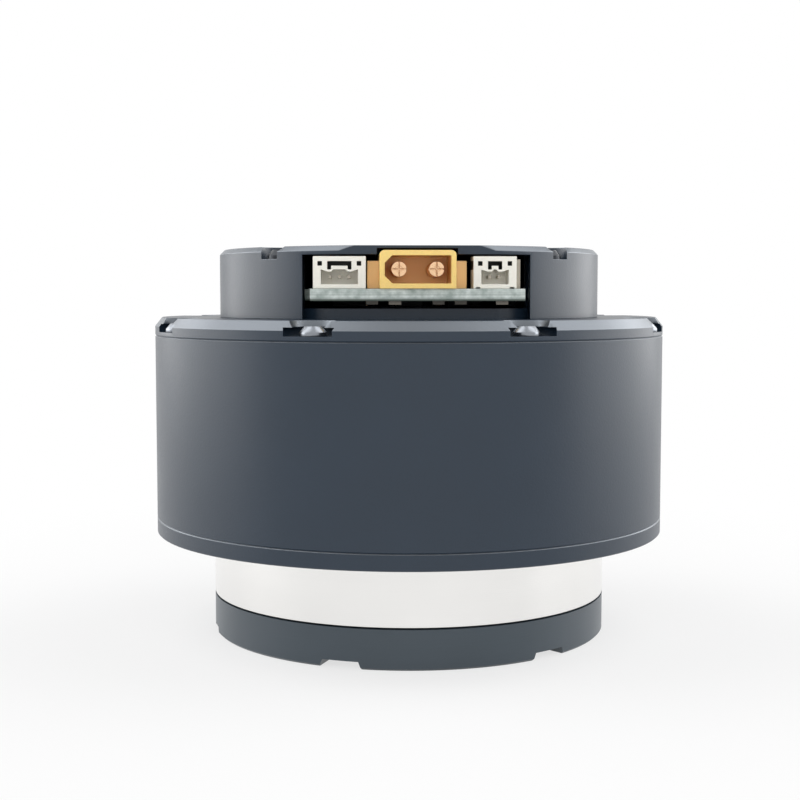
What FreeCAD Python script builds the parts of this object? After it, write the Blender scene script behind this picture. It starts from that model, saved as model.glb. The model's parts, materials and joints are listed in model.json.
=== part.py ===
import FreeCAD, Part
import Sketcher
import math
import os
import re

# Robot joint actuator: an outrunner motor, a planetary gear train and its driver board in one housing.
# Millimetres. The origin is the centre of the output flange's mounting face, +Z runs along the axis
# towards the driver cover, and the sockets face -Y.

SIZES = {
    # radial clearance of a located or pressed seat, of a running surface, and between spinning parts
    "seat": 0.01,
    "running": 0.03,
    "spin_gap": 0.4,
    # housing, from the output end up
    "housing_radius": 38.0,
    "housing_wall": 3.4,
    "seam_edge": 0.15,
    "band_radius": 29.5,
    "band_height": 9.2,
    "band_recess": 0.3,
    "cap_rim": 2.3,
    "cap_floor": 3.0,
    "spigot_depth": 3.0,
    "spigot_width": 4.2,
    "shell_height": 26.9,
    "plate_rim": 2.65,
    "plate_edge_width": 1.0,
    "plate_edge_height": 1.27,
    "plate_web": 2.45,
    "plate_sink": 1.5,
    # output flange
    "flange_thickness": 5.6,
    "flange_gap": 0.3,
    "flange_edge": 0.3,
    "pilot_radius": 10.0,
    "pilot_depth": 2.5,
    "clamp_step": 0.4,
    "notch_count": 6,
    "notch_angle": -110.9,
    "notch_depth": 1.05,
    "notch_width": 5.2,
    "notch_flare": 0.7,
    "notch_reach": 4.0,
    "output_bolt_count": 6,
    "output_bolt_inset": 5.0,
    "output_bolt_depth": 4.6,
    "tapped_radius": 1.25,
    "mount_bolt_count": 8,
    "mount_bolt_inset": 5.5,
    "mount_bolt_depth": 4.6,
    # crossed roller bearing between the carrier and the ring gear
    "journal_radius": 20.0,
    "output_bearing_radius": 25.0,
    "output_bearing_width": 6.0,
    "race_gap": 0.4,
    "roller_radius": 1.0,
    "roller_length": 1.9,
    "roller_pairs": 15,
    "seal_height": 1.1,
    "seal_lip": 0.3,
    # planetary gears
    "gear_module": 0.6,
    "pressure_angle": 25.0,
    "backlash": 0.08,
    "tip_relief": 0.15,
    "sun_teeth": 15,
    "planet_teeth": 30,
    "planet_count": 3,
    "planet_angle": -90.0,
    "planet_width": 7.0,
    "washer_thickness": 0.4,
    "washer_lip": 1.0,
    "side_gap": 0.1,
    "ring_wall": 2.15,
    "ring_overrun": 0.6,
    "shoulder_height": 1.0,
    # planet carrier
    "carrier_gap": 0.7,
    "carrier_plate": 2.4,
    "carrier_spigot_radius": 8.0,
    "pin_radius": 2.5,
    "pin_foot": 5.5,
    "bush_wall": 1.0,
    "pillar_inset": 3.2,
    "pillar_radius": 3.0,
    "flange_bolt_inset": 4.8,
    "flange_bolt_count": 6,
    # ball bearings: between carrier and shaft, and the pair that carries the shaft
    "shaft_radius": 5.0,
    "carrier_bearing_radius": 7.5,
    "carrier_bearing_width": 3.0,
    "carrier_ball_radius": 0.7,
    "carrier_ball_count": 9,
    "bearing_lip": 1.0,
    "rotor_bearing_radius": 9.5,
    "rotor_bearing_width": 5.0,
    "ball_radius": 1.2,
    "ball_count": 7,
    "cage_wall": 0.6,
    "bearing_spread": 4.8,
    "bearing_shoulder": 1.3,
    # motor
    "bell_gap": 0.4,
    "bell_web": 1.8,
    "bell_wall": 1.6,
    "bell_hub_radius": 9.0,
    "bell_hub_height": 1.0,
    "hub_gap": 1.0,
    "bell_window_count": 6,
    "bell_window_radius": 4.2,
    "bell_window_circle": 19.5,
    "magnet_count": 20,
    "magnet_thickness": 1.8,
    "magnet_angle": 15.5,
    "magnet_overhang": 0.75,
    "bell_lip": 0.5,
    "stator_hub_radius": 17.5,
    "stator_stack": 8.0,
    "stator_slots": 18,
    "stator_yoke": 3.4,
    "tooth_width": 2.8,
    "shoe_thickness": 1.4,
    "shoe_angle": 16.5,
    "insulator_thickness": 0.5,
    "coil_width": 1.9,
    "coil_overhang": 2.0,
    "coil_side_gap": 0.15,
    "coil_corner": 0.9,
    "end_clearance": 0.8,
    "nose_radius": 2.5,
    "circlip_thickness": 0.8,
    "circlip_groove": 0.4,
    "circlip_lip": 1.3,
    "shaft_end": 1.2,
    "encoder_magnet_radius": 3.0,
    "encoder_magnet_height": 1.6,
    "phase_lead_radius": 0.8,
    "phase_lead_step": 2.5,
    "phase_lead_angle": 15.0,
    "phase_hole_radius": 1.5,
    # screws
    "fine_screw_radius": 1.0,
    "fine_head_radius": 1.8,
    "fine_head_height": 1.3,
    "fine_head_skirt": 0.5,
    "fine_brow_radius": 1.1,
    "fine_socket": 0.65,
    "fine_socket_depth": 0.8,
    "fine_screw_length": 6.0,
    "bolt_radius": 1.5,
    "bolt_head_radius": 2.75,
    "bolt_head_height": 2.0,
    "bolt_socket": 1.0,
    "rim_screw_inset": 2.05,
    "rim_screw_count": 8,
    "rim_screw_angle": 22.5,
    "rim_pocket_depth": 2.0,
    "rim_pocket_floor": 2.3,
    "rim_pocket_flare": 0.8,
    "front_screw_angle": 0.0,
    "front_screw_length": 6.0,
    "ring_screw_inset": 2.0,
    "ring_screw_count": 12,
    # driver cover
    "cover_radius": 28.4,
    "cover_height": 9.9,
    "cover_wall": 2.0,
    "cover_roof": 1.2,
    "cover_edge": 0.7,
    "facet_depth": 2.0,
    "window_width": 30.8,
    "register_height": 1.45,
    "register_width": 5.4,
    "column_inset": 2.2,
    "column_radius": 3.3,
    "cover_screw_length": 9.0,
    "cover_screw_count": 4,
    "cover_screw_angle": 45.0,
    "cover_pocket_radius": 2.65,
    "cover_pocket_depth": 1.7,
    # driver board
    "board_rise": 2.52,
    "board_thickness": 1.6,
    "board_gap": 1.2,
    "board_tab_width": 28.6,
    "board_setback": 0.9,
    "board_scallop_gap": 0.4,
    "post_step": 0.53,
    "post_angle": 25.0,
    "post_radius": 2.1,
    "chip_height": 0.9,
    "encoder_size": 4.0,
    "control_size": 6.0,
    "control_pitch": 10.0,
    "control_row": 8.0,
    "mosfet_height": 1.0,
    "mosfet_size": 5.0,
    "mosfet_pitch": 9.0,
    "mosfet_row": 9.0,
    "mosfet_step": 6.0,
    "capacitor_radius": 3.15,
    "capacitor_height": 4.0,
    "can_pitch": 8.0,
    "can_row": 7.0,
    "passive_height": 0.5,
    "passive_length": 1.6,
    "passive_width": 0.8,
    "passive_setback": 1.0,
    "passive_pitch": 3.0,
    "passive_left": 3.0,
    "passive_right": 11.3,
    # power socket
    "power_setback": 0.4,
    "power_width": 10.2,
    "power_height": 5.1,
    "power_depth": 12.0,
    "power_wall": 0.7,
    "power_corner": 0.7,
    "power_key": 1.0,
    "power_cavity_depth": 8.0,
    "power_ear_width": 13.4,
    "power_ear_height": 3.75,
    "power_ear_setback": 3.0,
    "power_ear_depth": 7.5,
    "power_pin_radius": 1.0,
    "power_pin_pitch": 5.0,
    "power_pin_height": 2.6,
    "power_pin_recess": 0.6,
    "power_leg_radius": 0.7,
    "power_relief": 0.3,
    # signal sockets
    "signal_setback": 1.3,
    "signal_depth": 4.6,
    "signal_height": 4.3,
    "signal_floor": 0.6,
    "signal_side": 1.05,
    "signal_roof": 0.65,
    "signal_cavity_height": 1.95,
    "signal_cavity_depth": 3.4,
    "signal_slot_height": 0.6,
    "signal_slot_leg": 0.5,
    "signal_slot_leg_width": 0.5,
    "signal_slot_rim": 0.3,
    "signal_hole": 0.6,
    "signal_hole_depth": 1.7,
    "signal_foot_width": 0.6,
    "signal_foot_height": 0.22,
    "signal_tab_width": 0.6,
    "signal_tab_height": 3.9,
    "signal_tab_setback": 1.0,
    "signal_pitch": 1.25,
    "signal_contact": 0.4,
    "signal_contact_length": 2.7,
    "wide_socket_x": -10.4,
    "wide_socket_width": 7.0,
    "wide_slot_width": 3.2,
    "narrow_socket_x": 10.3,
    "narrow_socket_width": 5.75,
    "narrow_slot_width": 1.9,
}

# Heights and radii that follow from the sizes above. Each may use the ones written before it.
LEVELS = {
    "flange_top": "flange_thickness",
    "band_bottom": "flange_top + flange_gap",
    "band_top": "band_bottom + band_height",
    "band_seat": "band_top + band_recess",
    "cap_seam": "band_top + cap_rim",
    "cap_floor_top": "band_top + cap_floor",
    "shell_top": "cap_seam + shell_height",
    "plate_top": "shell_top + plate_rim",
    "cover_top": "plate_top + cover_height",
    "shell_bore": "housing_radius - housing_wall",
    "spigot_radius": "shell_bore - seat",
    "spigot_bore": "shell_bore - spigot_width",
    "spigot_top": "cap_seam + spigot_depth",
    "plate_spigot_bottom": "shell_top - spigot_depth",
    "bearing_bottom": "band_bottom + seal_height",
    "bearing_top": "bearing_bottom + output_bearing_width",
    "roller_circle": "(journal_radius + output_bearing_radius) / 2",
    "clamp_radius": "roller_circle - race_gap / 2 - clamp_step",
    "output_bolt_circle": "band_radius - output_bolt_inset",
    "mount_bolt_circle": "housing_radius - mount_bolt_inset",
    "rim_screw_circle": "housing_radius - rim_screw_inset",
    "ring_screw_circle": "band_radius - ring_screw_inset",
    "flange_bolt_circle": "journal_radius - flange_bolt_inset",
    "groove_reach": "(roller_radius + running) * 2 ^ 0.5",
    "roller_height": "bearing_bottom + output_bearing_width / 2",
    "carrier_front_top": "bearing_top + shoulder_height",
    "planet_bottom": "carrier_front_top + washer_thickness + side_gap",
    "planet_top": "planet_bottom + planet_width",
    "carrier_rear_bottom": "planet_top + washer_thickness + side_gap",
    "carrier_rear_top": "carrier_rear_bottom + carrier_plate",
    "ring_teeth": "sun_teeth + 2 * planet_teeth",
    "planet_circle": "gear_module * (sun_teeth + planet_teeth) / 2",
    "ring_tip": "gear_module * ring_teeth / 2 - gear_module",
    "carrier_radius": "ring_tip - carrier_gap",
    "pillar_circle": "carrier_radius - pillar_inset",
    "washer_radius": "pin_radius + bush_wall + washer_lip",
    "circlip_radius": "shaft_radius + circlip_lip",
    "ring_root": "gear_module * ring_teeth / 2 + gear_module + tip_relief",
    "ring_spigot_radius": "ring_root + ring_wall",
    "ring_top": "carrier_rear_bottom + ring_overrun",
    "carrier_bearing_bottom": "carrier_rear_bottom + bearing_lip",
    "carrier_bearing_top": "carrier_bearing_bottom + carrier_bearing_width",
    "web_bottom": "carrier_bearing_top + spin_gap",
    "web_top": "web_bottom + bell_web",
    "stack_bottom": "web_top + end_clearance + coil_overhang + insulator_thickness",
    "stack_top": "stack_bottom + stator_stack",
    "front_bearing_bottom": "web_top + bell_hub_height + hub_gap",
    "front_bearing_top": "front_bearing_bottom + rotor_bearing_width",
    "rear_bearing_bottom": "front_bearing_top + bearing_spread",
    "rear_bearing_top": "rear_bearing_bottom + rotor_bearing_width",
    "shaft_top": "rear_bearing_top + shaft_end",
    "bell_radius": "shell_bore - bell_gap",
    "bell_bore": "bell_radius - bell_wall",
    "magnet_bore": "bell_bore - magnet_thickness",
    "stator_radius": "magnet_bore - spin_gap",
    "yoke_radius": "stator_hub_radius + stator_yoke",
    "phase_lead_circle": "yoke_radius + phase_lead_step",
    "shoe_bore": "stator_radius - shoe_thickness",
    "magnet_bottom": "stack_bottom - magnet_overhang",
    "magnet_top": "stack_top + magnet_overhang",
    "bell_top": "magnet_top + bell_lip",
    "coil_top": "stack_top + insulator_thickness + coil_overhang",
    "plate_floor": "plate_top - plate_sink",
    "plate_underside": "plate_floor - plate_web",
    "rim_pocket_bottom": "plate_top - rim_pocket_depth",
    "register_top": "plate_top + register_height",
    "register_radius": "cover_radius - cover_wall - seat",
    "register_bore": "register_radius - register_width",
    "register_facet": "register_radius - facet_depth",
    "cover_facet": "cover_radius - facet_depth",
    "column_circle": "cover_radius - column_inset",
    "board_radius": "cover_radius - cover_wall - board_gap",
    "board_scallop": "column_radius + board_scallop_gap",
    "board_front": "cover_radius - board_setback",
    "power_front": "cover_radius - power_setback",
    "power_ear_front": "power_front - power_ear_setback",
    "signal_front": "cover_radius - signal_setback",
    "post_circle": "register_bore + post_step",
    "cover_ceiling": "cover_top - cover_roof",
    "cover_pocket_bottom": "cover_top - cover_pocket_depth",
    "board_bottom": "plate_top + board_rise",
    "board_top": "board_bottom + board_thickness",
    "ball_circle": "(shaft_radius + rotor_bearing_radius) / 2",
    "carrier_ball_circle": "(shaft_radius + carrier_bearing_radius) / 2",
    "power_pin_level": "board_top + power_pin_height",
    "power_top": "board_top + power_height",
    "signal_top": "board_top + signal_height",
    "signal_ceiling": "signal_top - signal_roof",
    "signal_slot_foot": "signal_ceiling - signal_slot_height - signal_slot_leg",
}

doc = FreeCAD.newDocument("joint_actuator")
sheet = doc.addObject("Spreadsheet::Sheet", "dims")
for row, (size_name, size_value) in enumerate(SIZES.items(), 1):
    sheet.set(f"A{row}", str(size_value))
    sheet.setAlias(f"A{row}", size_name)
doc.recompute()
levels = doc.addObject("App::VarSet", "levels")


def bound(formula):
    """A formula of plain size names, as an expression on the sheet and the levels."""
    def owned(found):
        return ("dims." if found.group() in SIZES else "levels.") + found.group()
    return re.sub(r"[a-z][a-z0-9_]*", owned, formula)


def number(name):
    """The value of one size or level, for the shapes and counts that code works out."""
    return float(sheet.get(name) if name in SIZES else getattr(levels, name))


for level_name, level_formula in LEVELS.items():
    levels.addProperty("App::PropertyFloat", level_name)
    levels.setExpression(level_name, bound(level_formula))
    doc.recompute()

# Where new sketch geometry starts, before its dimensions pull it into place.
ROUGH_ACROSS = 60.0
ROUGH_REACH = 10.0
# Two heights or widths closer than this are the same one.
SAME_LEVEL = 1e-4

pieces = []


class Piece:
    """One sub-part: a body whose sketches and features are bound to the sheet and the levels."""

    def __init__(self, label, kept=True):
        self.body = doc.addObject("PartDesign::Body", label)
        self.body.Label = label
        self.body.AllowCompound = True
        if kept:
            pieces.append(self.body)

    def origin(self, role):
        return next(item for item in self.body.Origin.OriginFeatures if item.Role == role)

    def sketch(self, role, height="0", turn=0.0):
        """A sketch on an origin plane, lifted along the plane's normal and turned about the part's axis."""
        sketch = self.body.newObject("Sketcher::SketchObject", self.body.Label + "_sketch")
        sketch.AttachmentSupport = [(self.origin(role), "")]
        sketch.MapMode = "FlatFace"
        spin_axis = FreeCAD.Vector(0, 0, 1) if role == "XY_Plane" else FreeCAD.Vector(0, 1, 0)
        sketch.AttachmentOffset = FreeCAD.Placement(FreeCAD.Vector(), FreeCAD.Rotation(spin_axis, turn))
        if height != "0":
            sketch.setExpression(".AttachmentOffset.Base.z", bound(height))
        return sketch

    def _drive(self, sketch, kind, references, formula):
        """Add a dimension and bind it to its formula."""
        index = sketch.addConstraint(Sketcher.Constraint(kind, *references, 1.0))
        sketch.renameConstraint(index, f"driven_{index}")
        sketch.setExpression(f"Constraints.driven_{index}", bound(formula))

    def _place(self, sketch, geometry, vertex, across, up):
        """Fix a point of the sketch at (across, up)."""
        for kind, axis, formula in (("DistanceX", -2, across), ("DistanceY", -1, up)):
            if formula == "0":
                sketch.addConstraint(Sketcher.Constraint("PointOnObject", geometry, vertex, axis))
            else:
                self._drive(sketch, kind, (-1, 1, geometry, vertex), formula)

    def outline(self, sketch, corners):
        """A closed outline of straight edges through the corners."""
        first = sketch.GeometryCount
        total = len(corners)
        turns = [2 * math.pi * i / total for i in range(total)]
        start = [FreeCAD.Vector(ROUGH_ACROSS + ROUGH_REACH * math.cos(turn), ROUGH_REACH * math.sin(turn), 0)
                 for turn in turns]
        sketch.addGeometry([Part.LineSegment(start[i], start[(i + 1) % total]) for i in range(total)], False)
        for i in range(total):
            sketch.addConstraint(Sketcher.Constraint("Coincident", first + i, 2, first + (i + 1) % total, 1))
        for i, (across, up) in enumerate(corners):
            self._place(sketch, first + i, 1, across, up)
        return sketch

    def rectangle(self, sketch, left, low, right, high):
        return self.outline(sketch, [(left, low), (right, low), (right, high), (left, high)])

    def circle(self, sketch, across, up, radius):
        rough = Part.Circle(FreeCAD.Vector(ROUGH_ACROSS, ROUGH_REACH, 0), FreeCAD.Vector(0, 0, 1),
                            ROUGH_REACH)
        index = sketch.addGeometry(rough, False)
        self._drive(sketch, "Radius", (index,), radius)
        self._place(sketch, index, 3, across, up)
        return sketch

    def _axis_line(self, sketch, across):
        """A construction line parallel to the part's axis, to turn an outline about."""
        line = Part.LineSegment(FreeCAD.Vector(ROUGH_ACROSS, -ROUGH_REACH, 0),
                                FreeCAD.Vector(ROUGH_ACROSS, ROUGH_REACH, 0))
        index = sketch.addGeometry(line, True)
        sketch.addConstraint(Sketcher.Constraint("Vertical", index))
        self._drive(sketch, "DistanceX", (-1, 1, index, 1), across)
        self._drive(sketch, "DistanceY", (-1, 1, index, 1), "spin_gap")
        self._drive(sketch, "Distance", (index,), "housing_wall")

    def feature(self, kind, sketch):
        feature = self.body.newObject("PartDesign::" + kind, self.body.Label + "_" + kind.lower())
        feature.Profile = sketch
        return feature

    def settle(self, before, cut):
        """Recompute, and stop if the feature changed the volume the wrong way or not at all."""
        doc.recompute()
        change = self.body.Shape.Volume - before
        if abs(change) < SAME_LEVEL or (change < 0) != cut:
            raise RuntimeError(f"{self.body.Label}: a feature changed nothing")

    def volume(self):
        return 0.0 if self.body.Shape.isNull() else self.body.Shape.Volume

    def turned(self, sketch, about="0", cut=False, angle=None):
        """Turn an outline about the part's axis, or about a parallel line; angle names a partial turn."""
        before = self.volume()
        if about != "0":
            self._axis_line(sketch, about)
        feature = self.feature("Groove" if cut else "Revolution", sketch)
        feature.ReferenceAxis = (sketch, ["V_Axis" if about == "0" else "Axis0"])
        feature.Angle = 360
        if angle:
            feature.Midplane = True
            feature.setExpression("Angle", bound(angle))
        self.settle(before, cut)
        return feature

    def padded(self, sketch, length, back=False):
        before = self.volume()
        feature = self.feature("Pad", sketch)
        feature.Reversed = back
        feature.setExpression("Length", bound(length))
        self.settle(before, False)
        return feature

    def pocketed(self, sketch, depth, back=False):
        before = self.volume()
        feature = self.feature("Pocket", sketch)
        feature.Reversed = back
        feature.setExpression("Length", bound(depth))
        self.settle(before, True)
        return feature

    def repeated(self, features, count):
        """Repeat features evenly round the part's axis."""
        before = self.volume()
        pattern = self.body.newObject("PartDesign::PolarPattern", self.body.Label + "_pattern")
        pattern.Originals = features
        pattern.Axis = (self.origin("Z_Axis"), [""])
        pattern.Angle = 360
        pattern.setExpression("Occurrences", bound(count))
        self.body.Tip = pattern
        self.settle(before, self.is_cut(features[0]))
        return pattern

    def rounded(self, feature, radius, level):
        """Round the feature's edges that run along Y at a level."""
        names = []
        for index, edge in enumerate(feature.Shape.Edges, 1):
            ends = [vertex.Point for vertex in edge.Vertexes]
            flat = all(abs(end.z - level) < SAME_LEVEL for end in ends)
            if flat and abs(ends[0].x - ends[-1].x) < SAME_LEVEL:
                names.append(f"Edge{index}")
        before = self.volume()
        fillet = self.body.newObject("PartDesign::Fillet", self.body.Label + "_fillet")
        fillet.Base = (feature, names)
        fillet.setExpression("Radius", bound(radius))
        self.settle(before, True)

    @staticmethod
    def is_cut(feature):
        return feature.TypeId in ("PartDesign::Pocket", "PartDesign::Groove")

    def ring(self, corners):
        """A solid of revolution about the part's axis."""
        return self.turned(self.outline(self.sketch("XZ_Plane"), corners))

    def holes(self, level, depth, circle, radius, count, first_angle=0.0):
        """Round holes down from a level, evenly spaced on a circle."""
        sketch = self.circle(self.sketch("XY_Plane", level, first_angle), circle, "0", radius)
        return self.repeated([self.pocketed(sketch, depth)], count)

    def spun_to(self, angle):
        """Turn the whole piece about the part's axis."""
        self.body.Placement = FreeCAD.Placement(FreeCAD.Vector(),
                                                FreeCAD.Rotation(FreeCAD.Vector(0, 0, 1), angle))


# ---------------------------------------------------------------- gear teeth

def involute(angle):
    return math.tan(angle) - angle


def gear_prism(teeth, tip_radius, root_radius, gap, bottom, top, first_angle):
    """A toothed prism: involute flanks as arcs, with each tooth thinned by half the gap."""
    module = number("gear_module")
    pressure = math.radians(number("pressure_angle"))
    pitch_radius = module * teeth / 2
    base_radius = pitch_radius * math.cos(pressure)
    half_pitch_angle = (math.pi * module / 2 - gap / 2) / (2 * pitch_radius)

    def half_angle(radius):
        return half_pitch_angle + involute(pressure) - involute(math.acos(min(1.0, base_radius / radius)))

    def point(radius, angle):
        return FreeCAD.Vector(radius * math.cos(angle), radius * math.sin(angle), bottom)

    form_radius = max(root_radius, base_radius)
    middle_radius = (form_radius + tip_radius) / 2
    edges = []
    for tooth in range(teeth):
        centre = math.radians(first_angle) + 2 * math.pi * tooth / teeth
        next_root = centre + 2 * math.pi / teeth - half_angle(form_radius)
        rising = [point(r, centre - half_angle(r)) for r in (form_radius, middle_radius, tip_radius)]
        falling = [point(r, centre + half_angle(r)) for r in (tip_radius, middle_radius, form_radius)]
        root_start = point(root_radius, centre + half_angle(form_radius))
        root_end = point(root_radius, next_root)
        edges.append(Part.Arc(*rising).toShape())
        edges.append(Part.Arc(rising[2], point(tip_radius, centre), falling[0]).toShape())
        edges.append(Part.Arc(*falling).toShape())
        if form_radius > root_radius:
            edges.append(Part.LineSegment(falling[2], root_start).toShape())
        middle_root = point(root_radius, centre + math.pi / teeth)
        edges.append(Part.Arc(root_start, middle_root, root_end).toShape())
        if form_radius > root_radius:
            edges.append(Part.LineSegment(root_end, point(form_radius, next_root)).toShape())
    return Part.Face(Part.Wire(edges)).extrude(FreeCAD.Vector(0, 0, top - bottom))


def tube(inner_radius, outer_radius, bottom, top):
    """A plain tube about the part's axis, as a shape."""
    outer = Part.makeCylinder(outer_radius, top - bottom, FreeCAD.Vector(0, 0, bottom))
    inner = Part.makeCylinder(inner_radius, top - bottom, FreeCAD.Vector(0, 0, bottom))
    return outer.cut(inner)


def shaped(label, shape, placement=None, kept=True):
    """A piece whose shape code works out; its placement is set after its shape."""
    feature = doc.addObject("Part::Feature", label)
    feature.Label = label
    feature.Shape = shape
    feature.Placement = placement or FreeCAD.Placement()
    if kept:
        pieces.append(feature)
    return feature


# ---------------------------------------------------------------- output side

def output_flange():
    """The turned flange that carries the load, bolted to the carrier, with notches round its edge.

    It is drawn with a notch on +X and its tapped holes midway between notches, and then spun."""
    piece = Piece("output_flange")
    piece.ring([("carrier_spigot_radius + seat", "pilot_depth"), ("pilot_radius", "pilot_depth"),
                ("pilot_radius", "0"), ("band_radius - flange_edge", "0"), ("band_radius", "flange_edge"),
                ("band_radius", "flange_top"), ("clamp_radius", "flange_top"),
                ("clamp_radius", "bearing_bottom"), ("carrier_spigot_radius + seat", "bearing_bottom")])
    piece.holes("output_bolt_depth", "output_bolt_depth", "output_bolt_circle", "tapped_radius",
                "output_bolt_count", 180 / number("notch_count"))
    bolt_turn = bolt_angle() - number("notch_angle")
    sunk = piece.circle(piece.sketch("XY_Plane", "bolt_head_height + seat", bolt_turn),
                        "flange_bolt_circle", "0", "bolt_head_radius + seat")
    piece.repeated([piece.pocketed(sunk, "bolt_head_height + seat")], "flange_bolt_count")
    piece.holes("bearing_bottom", "bearing_bottom", "flange_bolt_circle", "bolt_radius + seat",
                "flange_bolt_count", bolt_turn)
    notch = piece.sketch("YZ_Plane", "band_radius")
    piece.outline(notch, [("notch_width / 2", "notch_depth"), ("-notch_width / 2", "notch_depth"),
                          ("-notch_width / 2 - notch_flare", "-notch_flare"),
                          ("notch_width / 2 + notch_flare", "-notch_flare")])
    cut = piece.pocketed(notch, "notch_reach")
    piece.repeated([cut], "notch_count")
    piece.spun_to(number("notch_angle"))


def bolt_angle():
    """The flange bolts stand half a step away from the planet pins."""
    return number("planet_angle") + 180 / number("flange_bolt_count")


def flange_bolts():
    """Bolts from the flange's face into the carrier."""
    piece = Piece("flange_bolts")
    sketch = piece.outline(piece.sketch("XZ_Plane"), [
        ("flange_bolt_circle", "seat"), ("flange_bolt_circle + bolt_head_radius", "seat"),
        ("flange_bolt_circle + bolt_head_radius", "bolt_head_height"),
        ("flange_bolt_circle + bolt_radius", "bolt_head_height"),
        ("flange_bolt_circle + bolt_radius", "carrier_front_top - shoulder_height - seat"),
        ("flange_bolt_circle", "carrier_front_top - shoulder_height - seat")])
    bolt = piece.turned(sketch, about="flange_bolt_circle")
    socket = hex_socket(piece, "flange_bolt_circle", "seat", "bolt_socket")
    recess = piece.pocketed(socket, "bolt_head_height / 2", back=True)
    piece.repeated([bolt, recess], "flange_bolt_count")
    piece.spun_to(bolt_angle())


def hex_socket(piece, circle, level, across):
    """A hexagon sketch for a socket, centred on a screw's axis; across is its corner radius."""
    turns = [math.radians(60 * step) for step in range(6)]
    corners = [(f"{circle} + {across} * {math.cos(turn):.6f}", f"{across} * {math.sin(turn):.6f} + 0")
               for turn in turns]
    return piece.outline(piece.sketch("XY_Plane", level), corners)


def output_bearing():
    """A crossed roller bearing: two races with a square groove, and rollers that lean either way in turn."""
    outer = Piece("output_bearing_outer_race")
    outer.ring([("roller_circle + race_gap / 2", "bearing_bottom"), ("output_bearing_radius",
                                                                     "bearing_bottom"),
                ("output_bearing_radius", "bearing_top"), ("roller_circle + race_gap / 2", "bearing_top")])
    inner = Piece("output_bearing_inner_race")
    inner.ring([("journal_radius + seat", "bearing_bottom"), ("roller_circle - race_gap / 2",
                                                              "bearing_bottom"),
                ("roller_circle - race_gap / 2", "bearing_top"), ("journal_radius + seat", "bearing_top")])
    for race in (outer, inner):
        sketch = race.outline(race.sketch("XZ_Plane"), [
            ("roller_circle - groove_reach", "roller_height"), ("roller_circle",
                                                                "roller_height - groove_reach"),
            ("roller_circle + groove_reach", "roller_height"), ("roller_circle",
                                                                "roller_height + groove_reach")])
        race.turned(sketch, cut=True)
    rollers = Piece("output_bearing_rollers")
    radius, half = number("roller_radius"), number("roller_length") / 2
    for lean, turn in ((1, 0.0), (-1, 180 / number("roller_pairs"))):
        sketch = rollers.sketch("XZ_Plane", turn=turn)
        along, side = half / math.sqrt(2), radius / math.sqrt(2)
        points = [(-along, -along * lean), (-along - side, (side - along) * lean),
                  (along - side, (along + side) * lean), (along, along * lean)]
        lean_roller(rollers, sketch, points)


def lean_roller(rollers, sketch, points):
    """Turn half of a roller's section about its own leaning axis, and repeat it round the bearing."""
    circle, height = number("roller_circle"), number("roller_height")
    where = [FreeCAD.Vector(circle + x, height + z, 0) for x, z in points]
    sketch.addGeometry([Part.LineSegment(where[i], where[(i + 1) % 4]) for i in range(4)], False)
    sketch.addGeometry(Part.LineSegment(where[0], where[3]), True)
    before = rollers.volume()
    feature = rollers.feature("Revolution", sketch)
    feature.ReferenceAxis = (sketch, ["Axis0"])
    feature.Angle = 360
    rollers.settle(before, False)
    rollers.repeated([feature], "roller_pairs")


def output_seal():
    """A lip seal in front of the output bearing."""
    piece = Piece("output_seal")
    piece.ring([("clamp_radius + seal_lip", "band_bottom"), ("output_bearing_radius", "band_bottom"),
                ("output_bearing_radius", "bearing_bottom - seat"),
                ("clamp_radius + 2 * seal_lip", "bearing_bottom - seat"),
                ("clamp_radius + 2 * seal_lip", "band_bottom + seal_height / 3"),
                ("clamp_radius + seal_lip", "band_bottom + seal_height / 3")])


# ---------------------------------------------------------------- gear train

def ring_gear():
    """The bright gearbox barrel: a seat for the bearing below, teeth above, and a spigot into the cap."""
    blank = Piece("ring_gear_blank", kept=False)
    blank.ring([("output_bearing_radius + seat", "band_bottom"), ("band_radius", "band_bottom"),
                ("band_radius", "band_seat"), ("ring_spigot_radius", "band_seat"),
                ("ring_spigot_radius", "ring_top"), ("ring_tip", "ring_top"), ("ring_tip", "bearing_top"),
                ("output_bearing_radius + seat", "bearing_top")])
    blank.holes("band_seat", "fine_screw_length", "ring_screw_circle", "fine_screw_radius + seat",
                "ring_screw_count")
    teeth = int(number("ring_teeth"))
    broach = shaped("ring_gear_broach", gear_prism(
        teeth, number("ring_root"), number("ring_tip") - number("side_gap"), -number("backlash"),
        number("bearing_top"), number("ring_top"), number("planet_angle")), kept=False)
    barrel = doc.addObject("Part::Cut", "ring_gear")
    barrel.Label = "ring_gear"
    barrel.Base = blank.body
    barrel.Tool = broach
    doc.recompute()
    pieces.append(barrel)


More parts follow.
